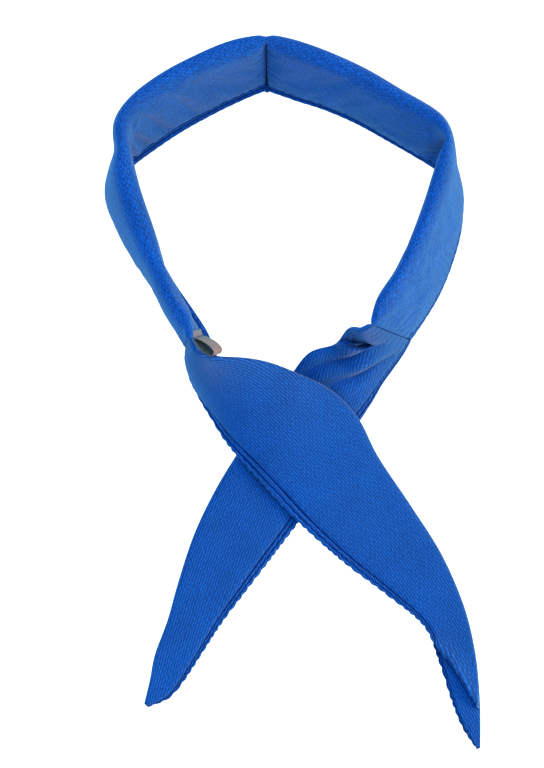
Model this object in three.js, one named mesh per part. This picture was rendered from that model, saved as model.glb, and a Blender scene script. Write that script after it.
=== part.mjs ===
// Cooling neck wrap: a padded band that goes round the neck, and a flat pointed tail on each end
// to tie it with. Each half is one strip of knitted cloth, folded along one long edge and sewn
// along the other. The wrap lies on a table: the band stands on its sewn edge with the folded
// edge up, the tails have fallen flat, and the left tail lies over the right one.
// Millimetres, +Z up, +Y towards the centre back, +X to the right seen from the front.
import * as THREE from 'three';
import { mergeVertices } from 'three/addons/utils/BufferGeometryUtils.js';

// Driving dimensions
const BAND_WIDTH = 52;       // sewn edge to folded edge of the filled band
const BAND_THICKNESS = 9;    // filled band at its thickest
const TAIL_THICKNESS = 3.2;  // two layers of cloth, laid
const SEAM_GAP = 0.3;        // clearance between two pieces sewn to each other
const LABEL_LENGTH = 12;     // woven tape label, folded double and sewn in by its ends
const LABEL_WIDTH = 10;
const LABEL_GAP = 3.2;       // opening of the label's loop at its widest
const LABEL_TAPE = 0.8;      // thickness of the tape
const FLAP_LENGTH = 2.0;      // the short second label

// How far the origin is from where the tables below put the middle of the whole wrap
const ORIGIN_SHIFT = { x: -6.9, y: 9.0 };

// Fineness of the faceted surfaces
const BAND_SECTIONS = 46;
const TAIL_SECTIONS = 42;
const LABEL_STEPS = 10;

// Cross-section of the filled band. across: 0 at the sewn edge, 1 at the fold.
// half: half thickness as a share of BAND_THICKNESS. The flat hem ends in a stitched groove.
const PADDED_SECTION = [
  { across: 0.000, half: 0.11 },
  { across: 0.070, half: 0.11 },
  { across: 0.095, half: 0.09 },
  { across: 0.125, half: 0.27 },
  { across: 0.185, half: 0.39 },
  { across: 0.320, half: 0.47 },
  { across: 0.500, half: 0.50 },
  { across: 0.680, half: 0.48 },
  { across: 0.820, half: 0.42 },
  { across: 0.910, half: 0.32 },
  { across: 0.970, half: 0.18 },
  { across: 1.000, half: 0.00 },
];

// Cross-section of a tail, half as a share of TAIL_THICKNESS
const FLAT_SECTION = [
  { across: 0.00, half: 0.22 },
  { across: 0.07, half: 0.26 },
  { across: 0.10, half: 0.24 },
  { across: 0.16, half: 0.44 },
  { across: 0.26, half: 0.50 },
  { across: 0.38, half: 0.50 },
  { across: 0.50, half: 0.50 },
  { across: 0.62, half: 0.50 },
  { across: 0.72, half: 0.50 },
  { across: 0.82, half: 0.50 },
  { across: 0.90, half: 0.50 },
  { across: 0.96, half: 0.38 },
  { across: 1.00, half: 0.00 },
];

// Rows from the centre-back seam to the cross seam where the tail starts.
// lx, ly: sewn edge on the table. ux, uy: folded edge above it. bow: how far the middle of the
// band stands out. flare: how far the hem turns in at the foot. full: share of full thickness.
const BAND_LEFT_ROWS = [
  { lx: -2.4, ly: 147.7, ux: -2.8, uy: 152.5, bow: 0.0, flare: 1.8, full: 0.30 },
  { lx: -7.0, ly: 146.0, ux: -8.1, uy: 151.9, bow: 0.0, flare: 1.8, full: 0.90 },
  { lx: -16.0, ly: 141.8, ux: -18.1, uy: 149.4, bow: 0.0, flare: 1.8, full: 1.00 },
  { lx: -27.6, ly: 135.7, ux: -30.4, uy: 144.2, bow: 0.0, flare: 2.0, full: 1.00 },
  { lx: -43.6, ly: 126.1, ux: -47.2, uy: 135.1, bow: 0.0, flare: 2.3, full: 1.00 },
  { lx: -57.2, ly: 116.2, ux: -60.4, uy: 124.9, bow: 0.0, flare: 2.6, full: 1.00 },
  { lx: -65.6, ly: 109.5, ux: -67.3, uy: 115.2, bow: 0.4, flare: 2.6, full: 1.00 },
  { lx: -70.6, ly: 104.8, ux: -68.8, uy: 107.0, bow: 0.2, flare: 2.5, full: 0.95 },
  { lx: -73.2, ly: 98.0, ux: -68.0, uy: 99.2, bow: 0.2, flare: 2.0, full: 0.95 },
  { lx: -71.2, ly: 87.6, ux: -66.2, uy: 87.4, bow: 1.6, flare: 2.8, full: 1.20 },
  { lx: -63.0, ly: 75.0, ux: -62.4, uy: 72.9, bow: 3.2, flare: 2.8, full: 1.30 },
  { lx: -53.6, ly: 61.2, ux: -57.2, uy: 57.3, bow: 3.8, flare: 2.6, full: 1.25 },
  { lx: -44.9, ly: 47.6, ux: -51.9, uy: 42.0, bow: 3.4, flare: 2.5, full: 1.00 },
  { lx: -35.6, ly: 33.7, ux: -45.3, uy: 26.9, bow: 3.4, flare: 3.0, full: 1.00 },
  { lx: -29.8, ly: 24.0, ux: -39.8, uy: 16.8, bow: 3.6, flare: 3.0, full: 0.90 },
  { lx: -25.6, ly: 13.2, ux: -36.8, uy: 6.2, bow: 4.6, flare: 2.0, full: 0.35 },
];

const BAND_RIGHT_ROWS = [
  { lx: -2.4, ly: 147.7, ux: -2.8, uy: 152.5, bow: 0.0, flare: 1.0, full: 0.30 },
  { lx: 2.6, ly: 145.8, ux: 2.7, uy: 151.8, bow: 0.0, flare: 1.0, full: 0.90 },
  { lx: 12.5, ly: 142.1, ux: 13.2, uy: 148.4, bow: 0.0, flare: 1.0, full: 1.00 },
  { lx: 25.5, ly: 137.6, ux: 26.7, uy: 142.9, bow: 0.0, flare: 1.0, full: 1.00 },
  { lx: 41.1, ly: 130.3, ux: 42.1, uy: 135.1, bow: 0.0, flare: 1.0, full: 1.00 },
  { lx: 57.2, ly: 120.7, ux: 58.2, uy: 124.7, bow: 0.0, flare: 0.8, full: 1.00 },
  { lx: 69.9, ly: 112.8, ux: 71.2, uy: 116.8, bow: 0.3, flare: 0.4, full: 0.95 },
  { lx: 77.0, ly: 107.9, ux: 77.4, uy: 111.2, bow: 1.0, flare: 0.3, full: 0.80 },
  { lx: 82.6, ly: 103.2, ux: 80.2, uy: 103.6, bow: 1.0, flare: 0.0, full: 0.65 },
  { lx: 87.2, ly: 97.6, ux: 78.6, uy: 95.2, bow: 0.5, flare: -0.3, full: 0.85 },
  { lx: 90.0, ly: 89.6, ux: 76.0, uy: 85.6, bow: 0.0, flare: -0.5, full: 1.00 },
  { lx: 89.2, ly: 75.8, ux: 71.3, uy: 71.6, bow: 0.0, flare: -0.5, full: 1.00 },
  { lx: 84.8, ly: 59.6, ux: 65.1, uy: 55.8, bow: 0.3, flare: -0.5, full: 1.00 },
  { lx: 78.5, ly: 44.0, ux: 58.0, uy: 40.2, bow: 0.5, flare: -0.5, full: 1.00 },
  { lx: 71.0, ly: 31.1, ux: 49.8, uy: 25.8, bow: 0.5, flare: -0.5, full: 1.00 },
  { lx: 64.9, ly: 21.6, ux: 45.4, uy: 13.8, bow: 0.5, flare: -0.3, full: 0.45 },
];

// Rows from the cross seam to the tip. lz and uz are the heights of the middle of the cloth.
const TAIL_OVER_ROWS = [
  { lx: -25.6, ly: 13.2, lz: 0.0, ux: -36.8, uy: 6.2, uz: 50.0, bow: 5.2, flare: 1.0, full: 1 },
  { lx: -33.0, ly: 9.6, lz: 1.0, ux: -32.4, uy: 0.2, uz: 47.6, bow: 6.0, flare: 0.0, full: 1 },
  { lx: -37.0, ly: 3.0, lz: 1.0, ux: -23.6, uy: 0.0, uz: 42.4, bow: 6.5, flare: 0.0, full: 1 },
  { lx: -34.0, ly: -6.2, lz: 1.2, ux: -13.2, uy: 1.4, uz: 36.7, bow: 7.0, flare: 0.0, full: 1 },
  { lx: -28.2, ly: -17.0, lz: 1.6, ux: -1.4, uy: 1.4, uz: 29.7, bow: 7.0, flare: 0.0, full: 1 },
  { lx: -21.0, ly: -29.7, lz: 3.4, ux: 12.0, uy: -1.8, uz: 22.6, bow: 5.5, flare: 0.0, full: 1 },
  { lx: -10.5, ly: -43.2, lz: 5.4, ux: 27.4, uy: -7.6, uz: 15.0, bow: 3.0, flare: 0.0, full: 1 },
  { lx: 1.1, ly: -56.2, lz: 5.4, ux: 39.8, uy: -19.2, uz: 9.4, bow: 1.0, flare: 0.0, full: 1 },
  { lx: 14.5, ly: -70.3, lz: 5.2, ux: 49.2, uy: -37.0, uz: 5.6, bow: 0.5, flare: 0.0, full: 1 },
  { lx: 32.7, ly: -86.3, lz: 3.0, ux: 64.0, uy: -59.6, uz: 3.4, bow: 0.5, flare: 0.0, full: 1 },
  { lx: 52.0, ly: -101.0, lz: 1.5, ux: 77.8, uy: -82.2, uz: 2.0, bow: 0.5, flare: 0.0, full: 1 },
  { lx: 69.2, ly: -116.0, lz: 1.5, ux: 87.7, uy: -106.4, uz: 1.5, bow: 0.0, flare: 0.0, full: 1 },
  { lx: 76.3, ly: -133.8, lz: 1.5, ux: 92.4, uy: -127.7, uz: 1.5, bow: 0.0, flare: 0.0, full: 1 },
  { lx: 81.6, ly: -151.4, lz: 1.5, ux: 94.0, uy: -146.4, uz: 1.5, bow: 0.0, flare: 0.0, full: 1 },
  { lx: 86.2, ly: -163.0, lz: 1.5, ux: 94.2, uy: -159.3, uz: 1.5, bow: 0.0, flare: 0.0, full: 1 },
  { lx: 92.2, ly: -172.4, lz: 1.5, ux: 93.9, uy: -171.8, uz: 1.5, bow: 0.0, flare: 0.0, full: 0.8 },
];

const TAIL_UNDER_ROWS = [
  { lx: 64.9, ly: 21.6, lz: 0.0, ux: 45.4, uy: 13.8, uz: 48.0, bow: 0.5, flare: 0.0, full: 1 },
  { lx: 61.0, ly: 14.0, lz: 1.0, ux: 40.9, uy: 13.8, uz: 42.6, bow: 1.0, flare: 0.0, full: 1 },
  { lx: 56.2, ly: 6.8, lz: 1.2, ux: 36.6, uy: 14.6, uz: 35.0, bow: 1.5, flare: 0.0, full: 1 },
  { lx: 51.4, ly: -0.3, lz: 1.5, ux: 32.8, uy: 13.5, uz: 26.0, bow: 2.0, flare: 0.0, full: 1 },
  { lx: 46.7, ly: -9.0, lz: 1.5, ux: 27.8, uy: 13.4, uz: 17.5, bow: 2.0, flare: 0.0, full: 1 },
  { lx: 39.5, ly: -20.6, lz: 1.5, ux: 16.6, uy: 10.4, uz: 14.0, bow: 1.0, flare: 0.0, full: 1 },
  { lx: 31.8, ly: -33.5, lz: 1.5, ux: 6.6, uy: -1.0, uz: 6.5, bow: 0.5, flare: 0.0, full: 1 },
  { lx: 24.2, ly: -46.4, lz: 1.5, ux: -3.2, uy: -14.2, uz: 3.0, bow: 0.0, flare: 0.0, full: 1 },
  { lx: 15.9, ly: -61.5, lz: 1.5, ux: -13.6, uy: -30.2, uz: 1.8, bow: 0.0, flare: 0.0, full: 1 },
  { lx: 3.4, ly: -79.0, lz: 1.5, ux: -25.6, uy: -50.5, uz: 1.5, bow: 0.0, flare: 0.0, full: 1 },
  { lx: -9.4, ly: -96.2, lz: 1.5, ux: -35.6, uy: -72.1, uz: 1.5, bow: 0.0, flare: 0.0, full: 1 },
  { lx: -22.3, ly: -113.7, lz: 1.5, ux: -42.8, uy: -94.8, uz: 1.5, bow: 0.0, flare: 0.0, full: 1 },
  { lx: -31.6, ly: -128.3, lz: 1.5, ux: -47.7, uy: -113.2, uz: 1.5, bow: 0.0, flare: 0.0, full: 1 },
  { lx: -39.6, ly: -140.9, lz: 1.5, ux: -53.2, uy: -128.9, uz: 1.5, bow: 0.0, flare: 0.0, full: 1 },
  { lx: -46.6, ly: -149.2, lz: 1.5, ux: -55.4, uy: -140.7, uz: 1.5, bow: 0.0, flare: 0.0, full: 1 },
  { lx: -56.0, ly: -153.2, lz: 1.5, ux: -57.8, uy: -151.6, uz: 1.5, bow: 0.0, flare: 0.0, full: 0.8 },
];

// Folds of a tail. Each runs in a line over the cloth from (along0, across0) to (along1, across1),
// both as shares of the tail, rises by height (negative for a valley), and is about spread wide,
// as a share of the tail's width.
const TAIL_UNDER_FOLDS = [
  { along0: 0.04, across0: 0.18, along1: 0.36, across1: 0.60, height: -2.6, spread: 0.10 },
  { along0: 0.04, across0: 0.26, along1: 0.42, across1: 0.76, height: 2.6, spread: 0.10 },
  { along0: 0.05, across0: 0.38, along1: 0.42, across1: 0.92, height: -2.6, spread: 0.09 },
  { along0: 0.12, across0: 0.68, along1: 0.46, across1: 0.98, height: 2.2, spread: 0.10 },
  { along0: 0.06, across0: 0.78, along1: 0.27, across1: 0.90, height: -4.0, spread: 0.11 },
];

const TAIL_OVER_FOLDS = [
  { along0: 0.73, across0: 0.05, along1: 0.94, across1: 1.00, height: 1.4, spread: 0.14 },
];

const cloth = { color: 0x1459b5, roughness: 0.62, metalness: 0 };
const tape = { color: 0xa39c92, roughness: 0.75, metalness: 0 };

// A smooth curve through one vector for each row, read by the share of the rows passed
function curveThrough(rows, pick) {
  return new THREE.CatmullRomCurve3(rows.map(pick), false, 'catmullrom', 0.5);
}

// Height of the fold above the sewn edge on a band that keeps its width as it leans
function foldHeight(row) {
  const lean = Math.hypot(row.ux - row.lx, row.uy - row.ly);
  return row.uz ?? Math.sqrt(BAND_WIDTH ** 2 - lean ** 2);
}

// How far the hem's turn is felt across the band: all of it at the groove, none at either edge
function hemTurn(across) {
  const groove = 0.1;
  return across < groove ? across / groove : (1 - across) / (1 - groove);
}

// Rise of all the folds at one place on the cloth
function foldRise(folds, along, across) {
  let rise = 0;
  for (const fold of folds) {
    const run = (along - fold.along0) / (fold.along1 - fold.along0);
    if (run <= 0 || run >= 1) continue;
    const middle = fold.across0 + run * (fold.across1 - fold.across0);
    const away = (across - middle) / fold.spread;
    rise += fold.height * Math.sin(Math.PI * run) * Math.exp(-away * away);
  }
  return rise;
}

// The middle surface of a strip of cloth as a function of along and across, both 0 to 1
function middleSurface(rows, folds, side) {
  const sewn = curveThrough(rows, (r) => new THREE.Vector3(r.lx, r.ly, r.lz ?? 0));
  const fold = curveThrough(rows, (r) => new THREE.Vector3(r.ux, r.uy, foldHeight(r)));
  const form = curveThrough(rows, (r) => new THREE.Vector3(r.bow, r.flare, r.full));
  const outward = (along) => {
    const before = Math.max(0, along - 0.004);
    const after = Math.min(1, along + 0.004);
    const run = sewn.getPoint(after).add(fold.getPoint(after));
    run.sub(sewn.getPoint(before)).sub(fold.getPoint(before));
    const rise = fold.getPoint(along).sub(sewn.getPoint(along));
    return run.cross(rise).normalize().multiplyScalar(side);
  };
  const point = (along, across) => {
    const shape = form.getPoint(along);
    const bulge = shape.x * 4 * across * (1 - across) + shape.y * hemTurn(across);
    const place = sewn.getPoint(along).lerp(fold.getPoint(along), across);
    return place.addScaledVector(outward(along), bulge + foldRise(folds, along, across));
  };
  const full = (along) => form.getPoint(along).z;
  return { point, full };
}

// Direction square to the middle surface at one place
function squareTo(surface, along, across, side) {
  const step = 0.004;
  const [a0, a1] = [Math.max(0, along - step), Math.min(1, along + step)];
  const [c0, c1] = [Math.max(0, across - step), Math.min(1, across + step)];
  const run = surface.point(a1, across).sub(surface.point(a0, across));
  const rise = surface.point(along, c1).sub(surface.point(along, c0));
  return run.cross(rise).normalize().multiplyScalar(side);
}

// The plane of a seam between two pieces: through the sewn and folded edges of the row that they
// share, and square to the way that the cloth runs through it, seen from above
function seamPlane(row, runX, runY) {
  const foot = new THREE.Vector3(row.lx, row.ly, 0);
  const rise = new THREE.Vector3(row.ux, row.uy, foldHeight(row)).sub(foot).normalize();
  const normal = new THREE.Vector3(runX, runY, 0);
  normal.addScaledVector(rise, -normal.dot(rise)).normalize();
  return new THREE.Plane().setFromNormalAndCoplanarPoint(normal, foot);
}

// Keeps a point on its piece's side of a seam, and on the cut face itself at the piece's end
function keepToSeam(point, seam, sign, atEnd) {
  const short = SEAM_GAP / 2 - sign * seam.distanceToPoint(point);
  if (atEnd || short > 0) point.addScaledVector(seam.normal, sign * short);
}

// A closed body made of many cross-sections along a strip. Nothing reaches below the table.
// side is 1 on the left half and -1 on the right half, whose outer face is on the other side.
// The strip starts at one seam, and may end at another.
function stripBody(rows, section, thickness, alongs, side, seams, folds = []) {
  const surface = middleSurface(rows, folds, side);
  const positions = [];
  const ring = 2 * section.length - 1;
  const sections = alongs.length - 1;
  for (const [i, along] of alongs.entries()) {
    const put = (row, face) => {
      const p = surface.point(along, row.across);
      const half = face * row.half * thickness * surface.full(along);
      p.addScaledVector(squareTo(surface, along, row.across, side), half);
      p.z = Math.max(0, p.z);
      keepToSeam(p, seams.start, 1, i === 0);
      if (seams.end) keepToSeam(p, seams.end, -1, i === sections);
      positions.push(p.x, p.y, Math.max(0, p.z));
    };
    section.forEach((row) => put(row, 1));
    section.slice(0, -1).reverse().forEach((row) => put(row, -1));
  }
  const indices = [];
  const triangle = (a, b, c) => indices.push(...(side > 0 ? [a, b, c] : [a, c, b]));
  for (let i = 0; i < sections; i += 1) {
    for (let j = 0; j < ring; j += 1) {
      const next = (j + 1) % ring;
      const [a, b] = [i * ring + j, i * ring + next];
      triangle(a, b + ring, b);
      triangle(a, a + ring, b + ring);
    }
  }
  for (const [start, flip] of [[0, false], [sections * ring, true]]) {
    for (let j = 0; j < section.length - 1; j += 1) {
      const [a, b] = [start + j, start + j + 1];
      const [c, d] = [start + ring - 1 - j, start + ring - 2 - j];
      const corners = j < section.length - 2 ? [[a, b, d], [a, d, c]] : [[a, b, c]];
      corners.forEach(([p, q, r]) => (flip ? triangle(p, r, q) : triangle(p, q, r)));
    }
  }
  const geometry = new THREE.BufferGeometry();
  geometry.setAttribute('position', new THREE.Float32BufferAttribute(positions, 3));
  geometry.setIndex(indices);
  return mergeVertices(geometry, 1e-4);
}

// Half height of the label's loop as a share of its widest, pinched where it is sewn in
function loopShare(along) {
  const widest = 0.401;
  return (along ** 0.9 * Math.max(0, 1 - along) ** 0.5) / widest;
}

// Outline of a leaf shape from the sewn end at x0 to the round end at x1
function leafPoints(x0, x1, halfHeight, halfEnd) {
  const upper = [];
  for (let i = 0; i <= LABEL_STEPS; i += 1) {
    const along = Math.sin((i / LABEL_STEPS) * (Math.PI / 2));
    const height = halfEnd * (1 - along) + halfHeight * loopShare(along);
    upper.push(new THREE.Vector2(THREE.MathUtils.lerp(x0, x1, along), height));
  }
  const lower = upper.slice(0, -1).reverse().map((p) => new THREE.Vector2(p.x, -p.y));
  return halfEnd > 0 ? [...upper, ...lower] : [...upper, ...lower.slice(0, -1)];
}

// Moves a shape drawn flat and extruded to where the label is sewn in. run is the way that the
// tape leaves the seam, and fall is the way that its width goes down along the seam.
function placeLabel(geometry, anchor, run, fall) {
  const down = new THREE.Vector3(...fall).normalize();
  const out = new THREE.Vector3(...run);
  out.addScaledVector(down, -out.dot(down)).normalize();
  const side = new THREE.Vector3().crossVectors(out, down);
  const frame = new THREE.Matrix4().makeBasis(out, side, down.clone().negate());
  frame.setPosition(new THREE.Vector3(...anchor).addScaledVector(down, LABEL_WIDTH));
  return geometry.applyMatrix4(frame);
}

function closed(geometry) {
  geometry.deleteAttribute('normal');
  geometry.deleteAttribute('uv');
  return mergeVertices(geometry, 1e-4);
}

const LABEL_SEAM = { x: -35.3, y: 7.6, z: 47.5 };
const LABEL_FALL = [0.36, 0.48, -0.80];

function labelLoop() {
  const halfOuter = LABEL_GAP / 2 + LABEL_TAPE;
  const shape = new THREE.Shape(leafPoints(0, LABEL_LENGTH, halfOuter, LABEL_TAPE));
  const hollow = leafPoints(LABEL_TAPE * 2, LABEL_LENGTH - LABEL_TAPE, LABEL_GAP / 2, 0);
  shape.holes.push(new THREE.Path(hollow.reverse()));
  const body = new THREE.ExtrudeGeometry(shape, { depth: LABEL_WIDTH, bevelEnabled: false });
  const anchor = [LABEL_SEAM.x, LABEL_SEAM.y, LABEL_SEAM.z];
  return closed(placeLabel(body, anchor, [0.82, -0.57, 0], LABEL_FALL));
}

function labelFlap() {
  const lift = 0.8;
  const shape = new THREE.Shape();
  shape.moveTo(0, 0);
  shape.quadraticCurveTo(FLAP_LENGTH / 2, -lift, FLAP_LENGTH, -lift);
  shape.lineTo(FLAP_LENGTH, -lift - LABEL_TAPE);
  shape.quadraticCurveTo(FLAP_LENGTH / 2, -lift - LABEL_TAPE, 0, -LABEL_TAPE);
  const options = { depth: LABEL_WIDTH, bevelEnabled: false, curveSegments: 5 };
  const body = new THREE.ExtrudeGeometry(shape, options);
  const anchor = [LABEL_SEAM.x - 0.6, LABEL_SEAM.y + 1.5, LABEL_SEAM.z];
  return closed(placeLabel(body, anchor, [-0.4, 0.92, 0], LABEL_FALL));
}

const wrap = new THREE.Group();
wrap.position.set(ORIGIN_SHIFT.x, ORIGIN_SHIFT.y, 0);

function add(name, geometry, finish) {
  const mesh = new THREE.Mesh(geometry, new THREE.MeshStandardMaterial(finish));
  mesh.name = name;
  wrap.add(mesh);
}

// Where the cross-sections lie: closer together near the start the smaller crowd is, evenly at 1
function spacing(count, crowd) {
  const shares = Array.from({ length: count + 1 }, (_, i) => i / count);
  return shares.map((u) => u * (crowd + (1 - crowd) * u));
}

// A section with a row added halfway between each two
function refined(section) {
  const rows = [];
  section.forEach((row, i) => {
    const next = section[i + 1];
    rows.push(row);
    if (!next) return;
    rows.push({ across: (row.across + next.across) / 2, half: (row.half + next.half) / 2 });
  });
  return rows;
}

function band(rows, side, end) {
  const seams = { start: seamPlane(rows[0], -side, 0), end };
  return stripBody(rows, PADDED_SECTION, BAND_THICKNESS, spacing(BAND_SECTIONS, 1), side, seams);
}

function tail(rows, section, side, start, folds) {
  const alongs = spacing(TAIL_SECTIONS, 0.6);
  return stripBody(rows, section, TAIL_THICKNESS, alongs, side, { start }, folds);
}

const leftSeam = seamPlane(TAIL_OVER_ROWS[0], 0, -1);
const rightSeam = seamPlane(TAIL_UNDER_ROWS[0], -0.5, -0.85);
add('band_left', band(BAND_LEFT_ROWS, 1, leftSeam), cloth);
add('band_right', band(BAND_RIGHT_ROWS, -1, rightSeam), cloth);
add('tail_over', tail(TAIL_OVER_ROWS, FLAT_SECTION, 1, leftSeam, TAIL_OVER_FOLDS), cloth);
const foldedSection = refined(FLAT_SECTION);
add('tail_under', tail(TAIL_UNDER_ROWS, foldedSection, -1, rightSeam, TAIL_UNDER_FOLDS), cloth);
add('label_loop', labelLoop(), tape);
add('label_flap', labelFlap(), tape);

export default wrap;
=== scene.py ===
import math
import bmesh
import bpy
import numpy as np
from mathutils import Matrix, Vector


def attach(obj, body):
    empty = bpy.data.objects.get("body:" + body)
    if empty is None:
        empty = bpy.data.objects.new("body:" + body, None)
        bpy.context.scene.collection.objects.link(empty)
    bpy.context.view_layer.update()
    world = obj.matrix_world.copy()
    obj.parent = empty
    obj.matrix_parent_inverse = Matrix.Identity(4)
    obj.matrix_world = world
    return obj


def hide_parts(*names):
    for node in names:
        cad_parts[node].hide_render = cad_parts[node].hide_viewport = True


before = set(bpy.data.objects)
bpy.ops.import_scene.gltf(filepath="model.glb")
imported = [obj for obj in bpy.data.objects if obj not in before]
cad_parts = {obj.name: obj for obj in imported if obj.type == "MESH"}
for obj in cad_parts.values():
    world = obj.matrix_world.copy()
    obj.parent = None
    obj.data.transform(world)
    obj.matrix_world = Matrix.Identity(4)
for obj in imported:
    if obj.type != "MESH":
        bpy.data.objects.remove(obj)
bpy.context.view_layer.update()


# Neck band, left half. One strip of micro-dimple polyester knit, folded along its upper edge and
# sewn along its lower one, with a light filling between. Below the stitching the hem stays flat
# and thin, and above it the filling swells the band. Lengths are in millimetres until the mesh.
MM = 0.001
BAND_WIDTH = 52.0
BAND_THICKNESS = 9.0
# How far the wrap is moved on the table, so that the frame's origin is under its middle
LIE = (-6.9, 9.0)

# A row is a station along the strip: its sewn edge on the table (lx, ly), its folded edge above
# it (ux, uy), how far the cloth bows out between them, how far it flares out at the top of the
# hem, and how full it is as a share of the whole thickness.
BAND_COLUMNS = ("lx", "ly", "ux", "uy", "bow", "flare", "full")
BAND_LEFT = (
    (-2.4, 147.7, -2.8, 152.5, 0.0, 1.8, 0.70),
    (-7.0, 146.0, -8.1, 151.9, 0.0, 1.8, 0.90),
    (-16.0, 141.8, -18.1, 149.4, 0.0, 1.8, 1.00),
    (-27.6, 135.7, -30.4, 144.2, 0.0, 2.0, 1.00),
    (-43.6, 126.1, -47.2, 135.1, 0.0, 2.3, 1.00),
    (-57.2, 116.2, -60.4, 124.9, 0.0, 2.6, 1.00),
    (-65.6, 109.5, -67.3, 115.2, 0.4, 2.6, 1.00),
    (-70.6, 104.8, -68.8, 107.0, 0.2, 2.5, 0.95),
    (-73.2, 98.0, -68.0, 99.2, 0.2, 2.0, 0.95),
    (-71.2, 87.6, -66.2, 87.4, 1.6, 2.8, 1.20),
    (-63.0, 75.0, -62.4, 72.9, 3.2, 2.8, 1.30),
    (-53.6, 61.2, -57.2, 57.3, 3.8, 2.6, 1.25),
    (-44.9, 47.6, -51.9, 42.0, 3.4, 2.5, 1.00),
    (-35.6, 33.7, -45.3, 26.9, 3.4, 3.0, 1.00),
    (-29.8, 24.0, -39.8, 16.8, 3.6, 3.0, 0.90),
    (-25.6, 13.2, -36.8, 6.2, 4.6, 2.0, 0.35),
)

# across: 0 at the sewn edge, 1 at the fold. half: share of the band's thickness on each side.
# Two rows of stitching press the hem down, and the filling starts above the second.
FILLED_SECTION = (
    (0.000, 0.00),
    (0.002, 0.07),
    (0.010, 0.10),
    (0.026, 0.11),
    (0.044, 0.06),
    (0.060, 0.11),
    (0.074, 0.11),
    (0.090, 0.05),
    (0.106, 0.14),
    (0.128, 0.26),
    (0.185, 0.38),
    (0.320, 0.47),
    (0.500, 0.50),
    (0.680, 0.50),
    (0.820, 0.49),
    (0.905, 0.45),
    (0.960, 0.34),
    (0.990, 0.18),
    (1.000, 0.00),
)
# Across: how high the hem is, its two rows of stitching, and half the height of the dark band over
# each, painted shade for the groove with its thread
HEM = 0.1
STITCH_ROWS = (0.044, 0.090)
STITCH_SHADE_HALF = 0.008
# A seam's dark band, painted shade for the seam's crevice with its thread, shows up to this share
# across, just short of the fold. Away from the seam, in mm: how far that painted shade reaches,
# where the cloth has closer stations, and how far off the cloth is still drawn onto the seam.
SEAM_SHADE_TOP = 0.965
SEAM_SHADE_REACH = 0.2
BY_SEAMS = (0.15, 0.35, 0.6, 0.9, 1.3)
SEAM_DRAW = 3.0
# The cloth's grid: its step along the strip in mm, how many times as close it is round the hem,
# and the way round both faces in strip widths, as closely stepped as that
CLOTH_STEP = 0.9
HEM_CLOSER = 2.6
WIDTHS_ROUND = 2.6


def smooth_through(points, share):
    """A smooth curve through the points, read at each share of the way along them."""
    points = np.asarray(points, float)
    before, after = 2 * points[0] - points[1], 2 * points[-1] - points[-2]
    padded = np.vstack([before, points, after])
    place = np.clip(share, 0.0, 1.0) * (len(points) - 1)
    first = np.minimum(place.astype(int), len(points) - 2)
    w = (place - first)[..., None]
    a, b, c, d = (padded[first + k] for k in range(4))
    return b + w / 2 * (c - a + w * (2 * a - 5 * b + 4 * c - d + w * (3 * (b - c) + d - a)))


def unit(vectors):
    """The same directions, with length 1."""
    return vectors / np.linalg.norm(vectors, axis=-1, keepdims=True)


class Strip:
    """The middle surface of a strip of cloth, read by along and across, both from 0 to 1."""

    def __init__(self, columns, rows, side, folds=()):
        cells = {name: np.array([row[i] for row in rows]) for i, name in enumerate(columns)}
        lean = np.hypot(cells["ux"] - cells["lx"], cells["uy"] - cells["ly"])
        uz = cells.get("uz", np.sqrt(np.maximum(BAND_WIDTH**2 - lean**2, 0.0)))
        lz = cells.get("lz", np.zeros(len(rows)))
        self.sewn = np.stack([cells["lx"] + LIE[0], cells["ly"] + LIE[1], lz], 1)
        self.fold = np.stack([cells["ux"] + LIE[0], cells["uy"] + LIE[1], uz], 1)
        self.form = np.stack([cells["bow"], cells["flare"], cells["full"]], 1)
        self.side = side
        self.folds = folds

    def outward(self, along):
        """Direction square to the whole strip at a station, away from the neck."""
        back, ahead = np.maximum(0, along - 0.004), np.minimum(1, along + 0.004)
        run = smooth_through(self.sewn, ahead) + smooth_through(self.fold, ahead)
        run = run - smooth_through(self.sewn, back) - smooth_through(self.fold, back)
        rise = smooth_through(self.fold, along) - smooth_through(self.sewn, along)
        return unit(np.cross(run, rise)) * self.side

    def point(self, along, across):
        """A place on the middle surface, with its bow, its flare and its folds."""
        form = smooth_through(self.form, along)
        turn = np.where(across < HEM, across / HEM, (1 - across) / (1 - HEM))
        bulge = form[..., 0] * 4 * across * (1 - across) + form[..., 1] * turn
        for fold in self.folds:
            bulge = bulge + fold_rise(fold, along, across)
        low, high = smooth_through(self.sewn, along), smooth_through(self.fold, along)
        middle = low + (high - low) * across[..., None]
        return middle + self.outward(along) * bulge[..., None]

    def full(self, along):
        """Share of the whole thickness at a station."""
        return smooth_through(self.form, along)[..., 2]

    def square(self, along, across):
        """Direction square to the middle surface, towards the outer face."""
        step = 0.004
        a0, a1 = np.maximum(0, along - step), np.minimum(1, along + step)
        c0, c1 = np.maximum(0, across - step), np.minimum(1, across + step)
        run = self.point(a1, across) - self.point(a0, across)
        rise = self.point(along, c1) - self.point(along, c0)
        return unit(np.cross(run, rise)) * self.side

    def measured(self):
        """Shares along the strip in fine steps, and how far along the cloth each one is."""
        fine = np.linspace(0, 1, 1200)
        line = (smooth_through(self.sewn, fine) + smooth_through(self.fold, fine)) / 2
        steps = np.linalg.norm(np.diff(line, axis=0), axis=1)
        return fine, np.concatenate([[0], np.cumsum(steps)])


def fold_rise(fold, along, across):
    """Height of one fold of the cloth: a rounded ridge, or a valley where height is negative."""
    along0, across0, along1, across1, height, spread = fold
    run = (along - along0) / (along1 - along0)
    away = (across - across0 - run * (across1 - across0)) / spread
    inside = (run > 0) & (run < 1)
    profile = np.sin(math.pi * np.clip(run, 0, 1)) * np.exp(-away * away)
    return np.where(inside, height * profile, 0.0)


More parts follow.
